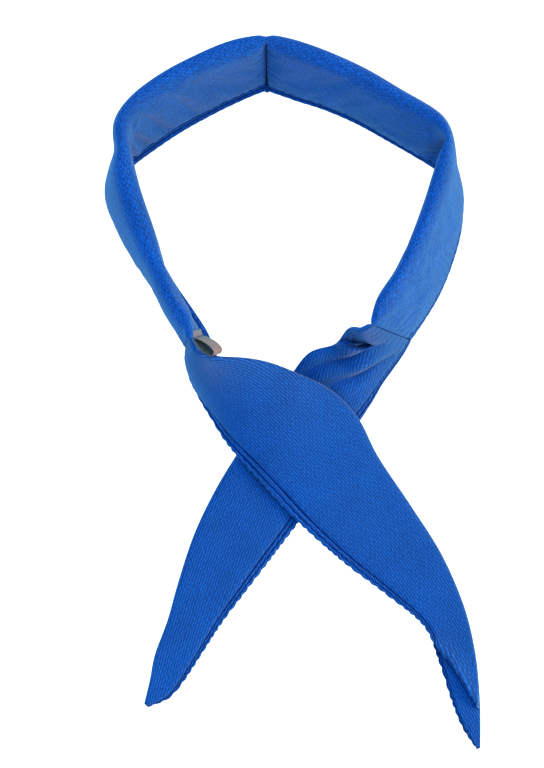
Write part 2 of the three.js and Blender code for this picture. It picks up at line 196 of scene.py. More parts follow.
def section_ring(section, width, thickness, count):
    """Steps round the section, closer over the hem: across, signed half thickness and reach."""
    outer = np.array(section)
    inner = outer[-2::-1] * (1, -1)
    fine = smooth_through(np.vstack([outer, inner]), np.linspace(0, 1, 4000))
    sizes = fine * (width, thickness)
    steps = np.linalg.norm(np.diff(sizes, axis=0), axis=1)
    reach = np.concatenate([[0], np.cumsum(steps)])
    closeness = np.where(fine[1:, 0] < 1.3 * HEM, HEM_CLOSER, 1.0)
    spread = np.concatenate([[0], np.cumsum(steps * closeness)])
    even = np.linspace(0, spread[-1], count + 1)
    across = np.clip(np.interp(even, spread, fine[:, 0]), 0, 1)
    return across, np.interp(even, spread, fine[:, 1]), np.interp(even, spread, reach)


def seam_plane(strip, row, run):
    """A point on a seam, and the direction square to its plane, along the way the cloth runs."""
    rise = unit(strip.fold[row] - strip.sewn[row])
    normal = np.array([run[0], run[1], 0.0])
    normal = unit(normal - rise * normal.dot(rise))
    return strip.sewn[row], normal


def keep_to_seam(points, seam, sign, end, cover):
    """Keeps the points on their piece's side of a seam and draws the end station onto it, with
    the cloth beside it less and less."""
    place, normal = seam
    short = -sign * ((points - place) @ normal)
    drawn = short[cover.i == end][cover.j]
    away = np.abs(cover.distance - cover.distance[cover.i == end][0])
    push = np.maximum(drawn * np.clip(1 - away / SEAM_DRAW, 0, 1), short)
    return points + push[:, None] * normal * sign


class Cover:
    """A strip's cloth as a grid: stations along it, and steps round its section."""

    def __init__(self, strip, section, width, thickness, fineness, by_seams=()):
        shares, reach = strip.measured()
        self.length = reach[-1]
        margin = by_seams[-1] + fineness if by_seams else 0.0
        middle = np.linspace(margin, self.length - margin,
                             int((self.length - 2 * margin) / fineness) + 1)
        away = np.array((0.0, *by_seams)) if by_seams else np.zeros(0)
        places = np.concatenate([away, middle, self.length - away[::-1]])
        self.stations = len(places) - 1
        self.steps = int(round(WIDTHS_ROUND * width / fineness))
        shares = np.interp(places, reach, shares)
        ring = section_ring(section, width, thickness, self.steps)
        self.i, self.j = np.divmod(np.arange((self.stations + 1) * (self.steps + 1)),
                                   self.steps + 1)
        self.strip, self.thickness, self.width = strip, thickness, width
        self.along, self.across = shares[self.i], ring[0][self.j]
        self.half, self.reach = ring[1][self.j], ring[2][self.j]
        self.distance = places[self.i]
        self.face = np.sign(self.half)
        self.shares = shares
        self.cloth = np.stack([self.distance, self.reach], 1)
        # Faces by the seams and on the hem's two rows take the dark thread material: painted shade
        # for the crevices there
        by_seam = np.minimum(self.distance, self.length - self.distance) < SEAM_SHADE_REACH
        by_seam = by_seam & (self.across < SEAM_SHADE_TOP)
        on_hem = np.abs(self.across[:, None] - STITCH_ROWS).min(1) < STITCH_SHADE_HALF
        self.stitched = (by_seam & (self.face != 0)) | on_hem

    def lay(self, seams, relief, scallop, sink, settled=None):
        """Points of the cloth in place, in mm. sink is how far each one slides to the hem."""
        lift = self.half * self.thickness * self.strip.full(self.along) + relief(self)
        points = self.strip.point(self.along, self.across)
        points = points + self.strip.square(self.along, self.across) * lift[:, None]
        rise = smooth_through(self.strip.fold, self.along)
        rise = unit(rise - smooth_through(self.strip.sewn, self.along))
        slide = scallop(self.along) * hem_wave(self) + sink(self)
        points = points - rise * slide[:, None]
        if settled is not None:
            points = points + settled(self)
        points[:, 2] = np.maximum(points[:, 2], 0.0)
        points = keep_to_seam(points, seams[0], 1, 0, self)
        if seams[1] is not None:
            points = keep_to_seam(points, seams[1], -1, self.stations, self)
        points[:, 2] = np.maximum(points[:, 2], 0.0)
        return points

    def mesh(self, name, points):
        """A closed mesh with the cloth's own flat sizes in its UV map, in metres."""
        bm = bmesh.new()
        uv = bm.loops.layers.uv.new("cloth")
        bmesh.ops.create_grid(bm, x_segments=self.stations, y_segments=self.steps, size=0.5)
        spots = []
        for vert in bm.verts:
            i = round((vert.co.x + 0.5) * self.stations)
            j = round((vert.co.y + 0.5) * self.steps)
            spots.append(i * (self.steps + 1) + j)
        for vert, spot in zip(bm.verts, spots):
            vert.co = points[spot] * MM
        for face in bm.faces:
            face.smooth = True
            corners = [spots[loop.vert.index] for loop in face.loops]
            # Faces marked as stitched take the second material, the dark band of painted seam
            # shade
            face.material_index = int(all(self.stitched[spot] for spot in corners))
            for loop, spot in zip(face.loops, corners):
                loop[uv].uv = self.cloth[spot] * MM
        # Each corner keeps its place in the grid, so that it is found again after a simulation
        mark = bm.verts.layers.int.new("spot")
        for vert, spot in zip(bm.verts, spots):
            vert[mark] = spot
        bmesh.ops.remove_doubles(bm, verts=bm.verts, dist=0.02 * MM)
        ends = [edge for edge in bm.edges if edge.is_boundary]
        caps = bmesh.ops.holes_fill(bm, edges=ends, sides=0)
        bmesh.ops.triangulate(bm, faces=caps["faces"])
        bmesh.ops.recalc_face_normals(bm, faces=bm.faces)
        return piece_of(bm, name)


def in_scene(name, data):
    """A new object that holds the data."""
    placed = bpy.data.objects.new(name, data)
    bpy.context.scene.collection.objects.link(placed)
    return placed


def piece_of(bm, name):
    """A new object with the finished mesh."""
    mesh = bpy.data.meshes.new(name)
    bm.to_mesh(mesh)
    bm.free()
    return in_scene(name, mesh)


# In mm: from one pull of the hem's stitches to the next, from one pucker above the hem to the
# next, from one tuck to the next up a seam, a tuck's height, and the fold's dip at the back seam
SCALLOP_PITCH = 4.4
PUCKER_PITCH = 4.6
TUCK_PITCH = 5.1
TUCK_HEIGHT = 0.16
FOLD_DIP = 0.4


def hem_wave(cover):
    """How far the hem's edge stands out between one pull of the stitches and the next."""
    wander = 1.1 * np.sin(cover.distance / 9.1 + 0.4) + 0.5 * np.sin(cover.distance / 3.7)
    wave = np.abs(np.sin(math.pi * cover.distance / SCALLOP_PITCH + wander))
    return (wave - 0.6) * np.clip(1 - cover.across / HEM, 0, 1)


def gathers(cover, depth, reach):
    """Small puckers that the hem's stitches pull into the cloth, fading away from the groove."""
    rise = cover.across - 0.9 * HEM
    fade = np.clip(rise / 0.02, 0, 1) * np.exp(-(rise / reach) ** 2)
    distance = cover.distance
    wander = 0.9 * np.sin(distance / 7.3) + 0.6 * np.sin(distance / 3.1 + 1.7)
    strength = 0.65 + 0.35 * np.sin(distance / 11.0 + 0.6)
    return depth * fade * strength * np.cos(math.tau * distance / PUCKER_PITCH + wander)


def seam_pull(cover, away, depth, narrow):
    """A cross seam draws both faces in, and small tucks run out from it."""
    height = cover.across * cover.width
    dip = -depth * np.exp(-((away / narrow) ** 2)) * np.clip((0.98 - cover.across) / 0.08, 0, 1)
    tuck = np.cos(math.tau * height / TUCK_PITCH + 1.2 * np.sin(height / 6.0))
    return cover.face * (dip + TUCK_HEIGHT * np.exp(-((away - 2.5) / 3.2) ** 2) * tuck)


def back_seam_sink(cover):
    """The fold dips a little where the back seam ties its two faces together."""
    by_fold = np.clip((cover.across - 0.8) / 0.2, 0, 1)
    return FOLD_DIP * np.exp(-((cover.distance / 1.1) ** 2)) * by_fold


def creases(cover, rows):
    """Lift of single creases, each between two places on one face of the cloth, in mm."""
    lift = np.zeros(len(cover.i))
    spot = np.stack([cover.distance, cover.across * cover.width], 1)
    inside = np.clip((1 - cover.across) / 0.05, 0, 1) * np.clip(cover.across / HEM - 0.8, 0, 1)
    for x0, y0, x1, y1, height, spread, face in rows:
        run = np.array([x1 - x0, y1 - y0])
        share = np.clip((spot - (x0, y0)) @ run / (run @ run), 0, 1)
        away = np.linalg.norm(spot - (x0, y0) - share[:, None] * run, axis=1)
        profile = (0.4 + 0.6 * np.sin(math.pi * share)) * np.exp(-((away / spread) ** 2))
        lift += height * profile * np.where(cover.face == face, 1, 0)
    return lift * inside


def even_hem(height):
    """The same height of scallops all along the hem."""
    return lambda along: np.full(len(along), height)


# The simulation's grid step and its most movement in mm, its frames, how much larger the cloth is
# cut than the filling's shape, and how firmly the filling holds it
SETTLE_STEP = 2.6
SETTLE_MOST = 0.9
SETTLE_FRAMES = 20
CUT_LARGER = 0.012
FILLING_HOLD = 0.12


def settle(strip, section, width, thickness, seams, relief):
    """Lets a coarse cover swell and wrinkle over its filling, by cloth simulation.

    The hem and both seams are held. The result is read for any cover of the same strip.
    """
    coarse = Cover(strip, section, width, thickness, SETTLE_STEP)
    start = coarse.lay(seams, relief, even_hem(0.0), back_seam_sink)
    pad = coarse.mesh("settling", start)
    held = pad.vertex_groups.new(name="held")
    marks = [item.value for item in pad.data.attributes["spot"].data]
    for vert, spot in zip(pad.data.vertices, marks):
        sewn = coarse.across[spot] < 1.15 * HEM or coarse.i[spot] in (0, coarse.stations)
        held.add([vert.index], 1.0 if sewn else FILLING_HOLD, "REPLACE")
    cloth = pad.modifiers.new("cloth", "CLOTH")
    cloth.settings.vertex_group_mass = "held"
    cloth.settings.quality = 6
    cloth.settings.mass = 0.15
    cloth.settings.tension_stiffness = 30.0
    cloth.settings.compression_stiffness = 30.0
    cloth.settings.shear_stiffness = 8.0
    cloth.settings.bending_stiffness = 0.3
    cloth.settings.shrink_min = -CUT_LARGER
    cloth.settings.use_pressure = True
    cloth.settings.uniform_pressure_force = 4.0
    cloth.settings.effector_weights.gravity = 0.0
    cloth.point_cache.frame_start = 1
    cloth.point_cache.frame_end = SETTLE_FRAMES
    for frame_number in range(1, SETTLE_FRAMES + 1):
        bpy.context.scene.frame_set(frame_number)
    swollen = pad.evaluated_get(bpy.context.evaluated_depsgraph_get())
    moved = np.zeros_like(start)
    for vert, spot in zip(swollen.data.vertices, marks):
        moved[spot] = np.array(vert.co) / MM - start[spot]
    bpy.context.scene.frame_set(1)
    bpy.data.objects.remove(pad)
    moved = moved.reshape(coarse.stations + 1, coarse.steps + 1, 3)
    # The closed mesh has one line of corners for the grid's first and last columns, so that only
    # one of the two columns has its movement
    moved[:, -1] = moved[:, 0] = moved[:, 0] + moved[:, -1]
    size = np.linalg.norm(moved, axis=-1, keepdims=True)
    moved *= SETTLE_MOST * np.tanh(size / SETTLE_MOST) / np.maximum(size, 1e-9)
    round_reach = coarse.reach[:coarse.steps + 1]

    def read(cover):
        """How far the simulation has moved each point of another cover, in mm."""
        row = cover.distance / cover.length * coarse.stations
        column = np.interp(cover.reach, round_reach, np.arange(coarse.steps + 1))
        r0 = np.minimum(row.astype(int), coarse.stations - 1)
        c0 = np.minimum(column.astype(int), coarse.steps - 1)
        fr, fc = (row - r0)[:, None], (column - c0)[:, None]
        low = moved[r0, c0] * (1 - fc) + moved[r0, c0 + 1] * fc
        high = moved[r0 + 1, c0] * (1 - fc) + moved[r0 + 1, c0 + 1] * fc
        return low * (1 - fr) + high * fr

    return read


def linear(hex_colour):
    """A colour that is given as sRGB hex, as Blender's linear values."""
    parts = [int(hex_colour[i:i + 2], 16) / 255 for i in (0, 2, 4)]
    parts = [p / 12.92 if p <= 0.04045 else ((p + 0.055) / 1.055) ** 2.4 for p in parts]
    return (*parts, 1.0)


def node(tree, kind, settings=None, links=None):
    """A node with its settings, and links from other nodes' outputs to its inputs."""
    made = tree.nodes.new(kind)
    for key, value in (settings or {}).items():
        if isinstance(key, str) and hasattr(made, key) and key not in made.inputs:
            setattr(made, key, value)
        else:
            made.inputs[key].default_value = value
    for key, (source, output) in (links or {}).items():
        tree.links.new(source.outputs[output], made.inputs[key])
    return made


def new_material(name, roughness, specular, sheen=0.0):
    """A material, its nodes and its surface, with how rough, how shiny and how hairy it is."""
    material = bpy.data.materials.new(name)
    material.use_nodes = True
    surface = material.node_tree.nodes["Principled BSDF"]
    surface.inputs["Roughness"].default_value = roughness
    surface.inputs["Specular IOR Level"].default_value = specular
    surface.inputs["Sheen Weight"].default_value = sheen
    return material, material.node_tree, surface


# The knit's rows are this far apart in mm, and so are the raised dashes along a row
ROW_PITCH = 1.165
DASH_PITCH = 3.26


def dimple_knit(name, dash_share, grain_share, grain_drawn, dark, pale):
    """Polyester micro-dimple knit: fine rows of short raised dashes, with a satin sheen.

    dash_share is how far the rows break up into dashes, grain_share how much of the relief is
    the yarn's own unevenness, and grain_drawn is below 1 where that is drawn long.
    """
    material, tree, surface = new_material(name, 0.6, 0.15, 0.26)
    surface.inputs["Sheen Roughness"].default_value = 0.6
    surface.inputs["Sheen Tint"].default_value = linear("ffffff")

    # Yarn is never laid quite straight: the rows waver by one or two tenths of a millimetre
    cloth = node(tree, "ShaderNodeUVMap", {"uv_map": "cloth"})
    waver = node(tree, "ShaderNodeTexNoise", {"Scale": 1 / (2.6 * MM), "Detail": 2.0},
                 {"Vector": (cloth, 0)})
    middle = node(tree, "ShaderNodeVectorMath", {"operation": "SUBTRACT", 1: (0.5, 0.5, 0.5)},
                  {0: (waver, "Color")})
    shifted = node(tree, "ShaderNodeVectorMath", {"operation": "MULTIPLY_ADD",
                                                  1: (1.6 * MM, 0.8 * MM, 0.0)},
                   {0: (middle, 0), 2: (cloth, 0)})
    split = node(tree, "ShaderNodeSeparateXYZ", links={0: (shifted, 0)})

    # Every other row is set over by half a dash
    run = node(tree, "ShaderNodeMath", {"operation": "MULTIPLY",
                                        1: math.tau / (DASH_PITCH * MM)}, {0: (split, 0)})
    rise = node(tree, "ShaderNodeMath", {"operation": "MULTIPLY",
                                         1: math.pi / (ROW_PITCH * MM)}, {0: (split, 1)})
    run_wave = node(tree, "ShaderNodeMath", {"operation": "COSINE"}, {0: (run, 0)})
    rise_wave = node(tree, "ShaderNodeMath", {"operation": "COSINE"}, {0: (rise, 0)})
    dashes = node(tree, "ShaderNodeMath", {"operation": "MULTIPLY"},
                  {0: (run_wave, 0), 1: (rise_wave, 0)})
    rows = node(tree, "ShaderNodeMath", {"operation": "ABSOLUTE"}, {0: (rise_wave, 0)})
    stitched = node(tree, "ShaderNodeMix", {"data_type": "FLOAT", 0: dash_share},
                    {2: (rows, 0), 3: (dashes, 0)})
    drawn = node(tree, "ShaderNodeVectorMath", {"operation": "MULTIPLY",
                                                1: (1.0, grain_drawn, 1.0)}, {0: (cloth, 0)})
    grain = node(tree, "ShaderNodeTexNoise", {"Scale": 1 / (1.1 * MM), "Detail": 1.0},
                 {"Vector": (drawn, 0)})
    relief = node(tree, "ShaderNodeMix", {"data_type": "FLOAT", 0: grain_share},
                  {2: (stitched, 0), 3: (grain, 0)})
    share = node(tree, "ShaderNodeMapRange", {1: 0.22, 2: 0.78, 3: 0.0, 4: 1.0},
                 {0: (relief, 0)})

    # The raised dashes are painted paler and the sunk ones darker: partly the yarn's dye, partly
    # painted shade in the dimples
    yarn = node(tree, "ShaderNodeMix", {"data_type": "RGBA", 6: linear(dark),
                                        7: linear(pale)}, {0: (share, 0)})
    spot = node(tree, "ShaderNodeTexCoord")
    cloud = node(tree, "ShaderNodeTexNoise", {"Scale": 60.0, "Detail": 3.0},
                 {"Vector": (spot, "Object")})
    shade = node(tree, "ShaderNodeMapRange", {1: 0.3, 2: 0.7, 3: 0.92, 4: 1.08},
                 {0: (cloud, 0)})
    dyed = node(tree, "ShaderNodeVectorMath", {"operation": "SCALE"},
                {0: (yarn, 2), "Scale": (shade, 0)})
    tree.links.new(dyed.outputs[0], surface.inputs["Base Color"])

    bump = node(tree, "ShaderNodeBump", {"Strength": 0.6, "Distance": 0.2 * MM},
                {"Height": (share, 0)})
    tree.links.new(bump.outputs[0], surface.inputs["Normal"])
    return material


def seam_thread_and_shade():
    """Dark navy for the thread sunk along each seam and both rows of the hem, mostly painted shade
    for the crevices there.
    """
    material, tree, surface = new_material("navy_thread_and_painted_seam_shade", 0.8, 0.1)
    cloth = node(tree, "ShaderNodeUVMap", {"uv_map": "cloth"})
    mottle = node(tree, "ShaderNodeTexNoise", {"Scale": 1 / (1.2 * MM), "Detail": 1.0},
                  {"Vector": (cloth, 0)})
    tint = node(tree, "ShaderNodeMix", {"data_type": "RGBA", 6: linear("02183f"),
                                        7: linear("0a3a86")}, {0: (mottle, 0)})
    tree.links.new(tint.outputs[2], surface.inputs["Base Color"])
    return material


def dress(piece, node_name, materials):
    """Gives a finished piece its materials and its body, and hides the solid that it stands for.
    """
    for material in materials:
        piece.data.materials.append(material)
    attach(piece, "root")
    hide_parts(node_name)


# mm along and up to each end of a crease, its height, its spread, and the face that it is on
LEFT_CREASES = (
    (55.0, 12.0, 68.0, 40.0, -1.3, 3.2, -1),
    (60.0, 10.0, 72.0, 36.0, 1.2, 3.0, -1),
    (66.0, 8.0, 77.0, 34.0, -1.5, 2.6, -1),
    (71.5, 8.0, 82.0, 40.0, 1.4, 2.6, -1),
    (77.0, 8.0, 86.0, 44.0, -1.9, 2.4, -1),
    (80.0, 8.0, 89.0, 51.0, 1.5, 5.5, 1),
    (30.0, 10.0, 44.0, 44.0, 0.5, 4.0, -1),
    (38.0, 8.0, 52.0, 42.0, -0.5, 4.0, -1),
)


# Depth of the hem's puckers in mm, and how far across the strip they reach
BAND_PUCKERS = (0.28, 0.16)
# How deep a seam draws the cloth in, and how far from it, in mm
BACK_SEAM_PULL = (2.2, 1.2)
LEFT_SEAM_PULL = (0.35, 0.5)
# Height of the hem's scallops in mm
BAND_SCALLOPS = 0.35
# Drawn tight lengthwise over the filling, the knit's rows lie closer than in the loose tails
ROWS_DRAWN_CLOSER = 1.25


def band_relief(crease_rows, cross_seam_pull):
    """What the stitches, the two seams and the creases do to the cloth of one half."""
    def lift(cover):
        start, end = cover.distance, cover.length - cover.distance
        return (gathers(cover, *BAND_PUCKERS) + seam_pull(cover, start, *BACK_SEAM_PULL)
                + seam_pull(cover, end, *cross_seam_pull) - creases(cover, crease_rows))

    return lift


def make_band(name, strip, seams, relief):
    """One half of the band."""
    settled = None
    settled = settle(strip, FILLED_SECTION, BAND_WIDTH, BAND_THICKNESS, seams, relief)
    cover = Cover(strip, FILLED_SECTION, BAND_WIDTH, BAND_THICKNESS, CLOTH_STEP, BY_SEAMS)
    cover.cloth = cover.cloth * (1.0, ROWS_DRAWN_CLOSER)
    points = cover.lay(seams, relief, even_hem(BAND_SCALLOPS), back_seam_sink, settled)
    return cover.mesh(name, points)


# Dark navy faces along the seams and hem rows: painted shade in the crevices, with the real thread
# there
seam_shade_material = seam_thread_and_shade()
drawn_knit = dimple_knit("drawn_polyester_dimple_knit", dash_share=0.32, grain_share=0.62,
                         grain_drawn=0.45, dark="063c74", pale="1673c4")
left_strip = Strip(BAND_COLUMNS, BAND_LEFT, side=1)
left_back_seam = seam_plane(left_strip, 0, (-1.0, 0.0))
left_cross_seam = seam_plane(left_strip, -1, (0.0, -1.0))
band_left = make_band("knit_band_left", left_strip, (left_back_seam, left_cross_seam),
                      band_relief(LEFT_CREASES, LEFT_SEAM_PULL))
dress(band_left, "band_left", (drawn_knit, seam_shade_material))


# Neck band, right half. Cut, folded, filled and sewn as the left half is, and joined to it by the
# upright seam at the centre back. Past its sharp corner it leans inwards, so that its outer face
# is turned up, and the hem lies along its outer side.
BAND_RIGHT = (
    (-2.4, 147.7, -2.8, 152.5, 0.0, 1.0, 0.70),
    (2.6, 145.8, 2.7, 151.8, 0.0, 1.0, 0.90),
    (12.5, 142.1, 13.2, 148.4, 0.0, 1.0, 1.00),
    (25.5, 137.6, 26.7, 142.9, 0.0, 1.0, 1.00),
    (41.1, 130.3, 42.1, 135.1, 0.0, 1.0, 1.00),
    (57.2, 120.7, 58.2, 124.7, 0.0, 0.8, 1.00),
    (69.9, 112.8, 71.2, 116.8, 0.3, 0.4, 0.95),
    (77.0, 107.9, 77.4, 111.2, 1.0, 0.3, 0.80),
    (82.6, 103.2, 80.2, 103.6, 1.0, 0.0, 0.65),
    (87.2, 97.6, 78.6, 95.2, 0.5, -0.3, 0.85),
    (90.0, 89.6, 76.0, 85.6, 0.0, -0.5, 1.00),
    (89.2, 75.8, 71.3, 71.6, 0.0, -0.5, 1.00),
    (84.8, 59.6, 65.1, 55.8, 0.3, -0.5, 1.00),
    (78.5, 44.0, 58.0, 40.2, 0.5, -0.5, 1.00),
    (71.0, 31.1, 49.8, 25.8, 0.5, -0.5, 1.00),
    (64.9, 21.6, 45.4, 13.8, 0.5, -0.3, 0.45),
)
right_strip = Strip(BAND_COLUMNS, BAND_RIGHT, side=-1)
right_back_seam = seam_plane(right_strip, 0, (1.0, 0.0))
right_cross_seam = seam_plane(right_strip, -1, (-0.5, -0.85))
RIGHT_CREASES = (
    (88.0, 2.0, 99.0, 50.0, -4.0, 3.0, -1),
    (80.0, 6.0, 90.0, 22.0, -1.5, 5.0, -1),
    (80.0, 8.0, 88.0, 40.0, 0.7, 3.4, -1),
    (30.0, 10.0, 46.0, 44.0, 0.5, 4.0, -1),
    (48.0, 8.0, 62.0, 40.0, -0.5, 4.0, -1),
)
RIGHT_SEAM_PULL = (0.15, 0.5)
band_right = make_band("knit_band_right", right_strip, (right_back_seam, right_cross_seam),
                       band_relief(RIGHT_CREASES, RIGHT_SEAM_PULL))
dress(band_right, "band_right", (drawn_knit, seam_shade_material))


# Tail on the left half, laid over the other. The same strip goes on without its filling: two
# layers of knit, folded on one side and sewn on the other. It leaves the seam on edge, twists
# over in an open curl, falls flat across the other tail and narrows to a point.
TAIL_COLUMNS = ("lx", "ly", "lz", "ux", "uy", "uz", "bow", "flare", "full")
TAIL_WIDTH = BAND_WIDTH
TAIL_THICKNESS = 3.2
TAIL_OVER = (
    (-25.6, 13.2, 0.0, -36.8, 6.2, 50.0, 5.2, 1.0, 1),
    (-33.0, 9.6, 1.0, -32.4, 0.2, 47.6, 6.0, 0.0, 1),
    (-37.0, 3.0, 1.0, -23.6, 0.0, 42.4, 6.5, 0.0, 1),
    (-34.0, -6.2, 1.2, -13.2, 1.4, 36.7, 7.0, 0.0, 1),
    (-28.2, -17.0, 1.6, -1.4, 1.4, 29.7, 7.0, 0.0, 1),
    (-21.0, -29.7, 3.4, 12.0, -1.8, 22.6, 5.5, 0.0, 1),
    (-10.5, -43.2, 5.4, 27.4, -7.6, 15.0, 3.0, 0.0, 1),
    (1.1, -56.2, 5.4, 39.8, -19.2, 9.4, 1.0, 0.0, 1),
    (14.5, -70.3, 5.2, 49.2, -37.0, 5.6, 0.5, 0.0, 1),
    (32.7, -86.3, 3.0, 64.0, -59.6, 3.4, 0.5, 0.0, 1),
    (52.0, -101.0, 1.5, 77.8, -82.2, 2.0, 0.5, 0.0, 1),
    (69.2, -116.0, 1.5, 87.7, -106.4, 1.5, 0.0, 0.0, 1),
    (76.3, -133.8, 1.5, 92.4, -127.7, 1.5, 0.0, 0.0, 1),
    (81.6, -151.4, 1.5, 94.0, -146.4, 1.5, 0.0, 0.0, 1),
    (86.2, -163.0, 1.5, 94.2, -159.3, 1.5, 0.0, 0.0, 1),
    (92.2, -172.4, 1.5, 93.9, -171.8, 1.5, 0.0, 0.0, 0.8),
)
LAID_SECTION = (
    (0.000, 0.00),
    (0.004, 0.12),
    (0.016, 0.24),
    (0.034, 0.24),
    (0.048, 0.16),
    (0.062, 0.25),
    (0.076, 0.24),
    (0.090, 0.13),
    (0.108, 0.32),
    (0.135, 0.44),
    (0.190, 0.49),
    (0.300, 0.50),
    (0.500, 0.50),
    (0.700, 0.50),
    (0.860, 0.50),
    (0.940, 0.46),
    (0.980, 0.30),
    (0.996, 0.12),
    (1.000, 0.00),
)
TAIL_PUCKERS = (0.22, 0.12)
# Height of the hem's scallops in mm where it is drawn tight and where it is loose, and the share
# of the tail's length that lies between the two
TAIL_SCALLOPS = (0.12, 0.62)
TIGHT_TO_LOOSE = 0.08
# Near its point the tail's upper layer ends in a curled edge, which crosses the strip on a slant.
# A row is a point of that edge: along and across.
TIP_EDGE = (
    (0.740, -0.06),
    (0.758, 0.00),
    (0.787, 0.19),
    (0.811, 0.37),
    (0.835, 0.52),
    (0.864, 0.71),
    (0.889, 0.89),
    (0.905, 1.02),
)
TIP_EDGE_STARTS = (0.72, 0.76)
# mm square to the edge for each mm along the tail, and over how many mm the edge is rounded
TIP_EDGE_SLANT = 0.62
TIP_EDGE_ROUND = 1.2
# Heights, leans and depths by the curled edge in mm, each with how far it reaches
CURL = 4.0
CURL_REACH = 4.0
CURL_LEAN = 3.0
CURL_LEAN_REACH = 1.6
LOWER_LAYER_DROP = 0.4
HOLLOW_UNDER_CURL = 1.1
HOLLOW_REACH = 2.0


def fade_out(distance, reach):
    """1 up to where a distance begins, and less and less past that."""
    return np.exp(-np.maximum(distance, 0) / reach)


def to_tip_edge(cover):
    """How far each point is behind the curled edge in mm, how much of it is on the upper side,
    and where on the cloth that counts."""
    along_edge, across_edge = np.array(TIP_EDGE).T
    edge = np.interp(cover.across, across_edge, along_edge)
    ragged = 0.25 * np.sin(cover.across * 60.0) + 0.15 * np.sin(cover.across * 143.0 + 1.0)
    behind = (edge - cover.along) * cover.length * TIP_EDGE_SLANT + ragged
    near = np.interp(cover.along, TIP_EDGE_STARTS, (0, 1)) * (cover.face > 0)
    upper = np.clip(behind / TIP_EDGE_ROUND + 0.5, 0, 1)
    return behind, upper, near


def over_relief(cover):
    """Puckers, the cross seam's pull, and the step from the curled edge to the layer below."""
    lift = gathers(cover, *TAIL_PUCKERS) + seam_pull(cover, cover.distance, *LEFT_SEAM_PULL)
    behind, upper, near = to_tip_edge(cover)
    curl = CURL * fade_out(behind, CURL_REACH) * upper
    below = HOLLOW_UNDER_CURL * fade_out(-behind, HOLLOW_REACH) + LOWER_LAYER_DROP
    return lift + near * (curl - below * (1 - upper))


def tip_edge_overhang(cover):
    """The curled edge leans out over the layer below it."""
    behind, upper, near = to_tip_edge(cover)
    inside = np.clip(cover.across / 0.15, 0, 1)
    return CURL_LEAN * near * inside * fade_out(behind, CURL_LEAN_REACH) * upper


def tail_hem(start):
    """The hem is puckered only past the share of the tail where it is no longer drawn tight."""
    return lambda along: np.interp(along, (start, start + TIGHT_TO_LOOSE), TAIL_SCALLOPS)


def no_sink(cover):
    """No point slides towards the hem."""
    return np.zeros(len(cover.i))


def lay_flat(strip, shares, grain, turn):
    """Both edges of a tail at each station, laid out flat as it was cut, in mm along the rows
    of the knit and square to them. grain is the rows' way on the table at the middle of the
    tail, and turn is how many degrees they have crept round by its point."""
    low = smooth_through(strip.sewn, shares)
    high = smooth_through(strip.fold, shares)
    flat_low, flat_high = [np.zeros(2)], [np.array([0.0, np.linalg.norm(high[0] - low[0])])]
    for k in range(1, len(shares)):
        flat_low.append(third_corner(flat_low[-1], flat_high[-1], low[k - 1], high[k - 1],
                                     low[k]))
        flat_high.append(third_corner(flat_low[-1], flat_high[-1], low[k], high[k - 1],
                                      high[k]))
    flat_low, flat_high = np.array(flat_low), np.array(flat_high)
    middle = (flat_low + flat_high) / 2
    m = np.searchsorted(shares, 0.5)
    run = (low[m + 1] + high[m + 1] - low[m] - high[m])[:2]
    flat_run = middle[m + 1] - middle[m]
    table_angle = math.atan2(grain[1], grain[0]) - math.atan2(run[1], run[0])
    base = math.atan2(flat_run[1], flat_run[0]) + table_angle * strip.side
    angle = base + np.interp(shares, (0.55, 0.85), (0.0, math.radians(turn))) * strip.side
    rows = np.stack([np.cos(angle), np.sin(angle)], 1)
    across = np.stack([-np.sin(angle), np.cos(angle)], 1)
    step = np.diff(middle, axis=0, prepend=middle[:1])
    centre = np.cumsum(np.stack([(step * rows).sum(1), (step * across).sum(1)], 1), axis=0)

    def turned(points):
        away = points - middle
        return centre + np.stack([(away * rows).sum(1), (away * across).sum(1)], 1)

    return turned(flat_low), turned(flat_high)


def third_corner(flat_a, flat_b, a, b, c):
    """Where corner c of a triangle falls when its side from a to b is already laid out flat."""
    side = unit(flat_b - flat_a)
    along = np.dot(c - a, unit(b - a))
    out = math.sqrt(max(np.dot(c - a, c - a) - along**2, 0.0))
    return flat_a + side * along + np.array([side[1], -side[0]]) * out


def make_tail(name, strip, seams, relief, hem, grain, turn, sink=no_sink):
    """One tail, with its knit's rows laid as the cloth was cut."""
    cover = Cover(strip, LAID_SECTION, TAIL_WIDTH, TAIL_THICKNESS, CLOTH_STEP, BY_SEAMS)
    low, high = lay_flat(strip, cover.shares, grain, turn)
    cover.cloth = low[cover.i] + (high - low)[cover.i] * cover.across[:, None]
    return cover.mesh(name, cover.lay(seams, relief, hem, sink))


knit = dimple_knit("polyester_dimple_knit", dash_share=0.15, grain_share=0.47,
                   grain_drawn=1.0, dark="083a6e", pale="1a6bb3")
over_strip = Strip(TAIL_COLUMNS, TAIL_OVER, side=1)
tail_over = make_tail("knit_tail_over", over_strip, (left_cross_seam, None), over_relief,
                      tail_hem(0.10), grain=(0.65, -0.76), turn=-15.0,
                      sink=tip_edge_overhang)
dress(tail_over, "tail_over", (knit, seam_shade_material))


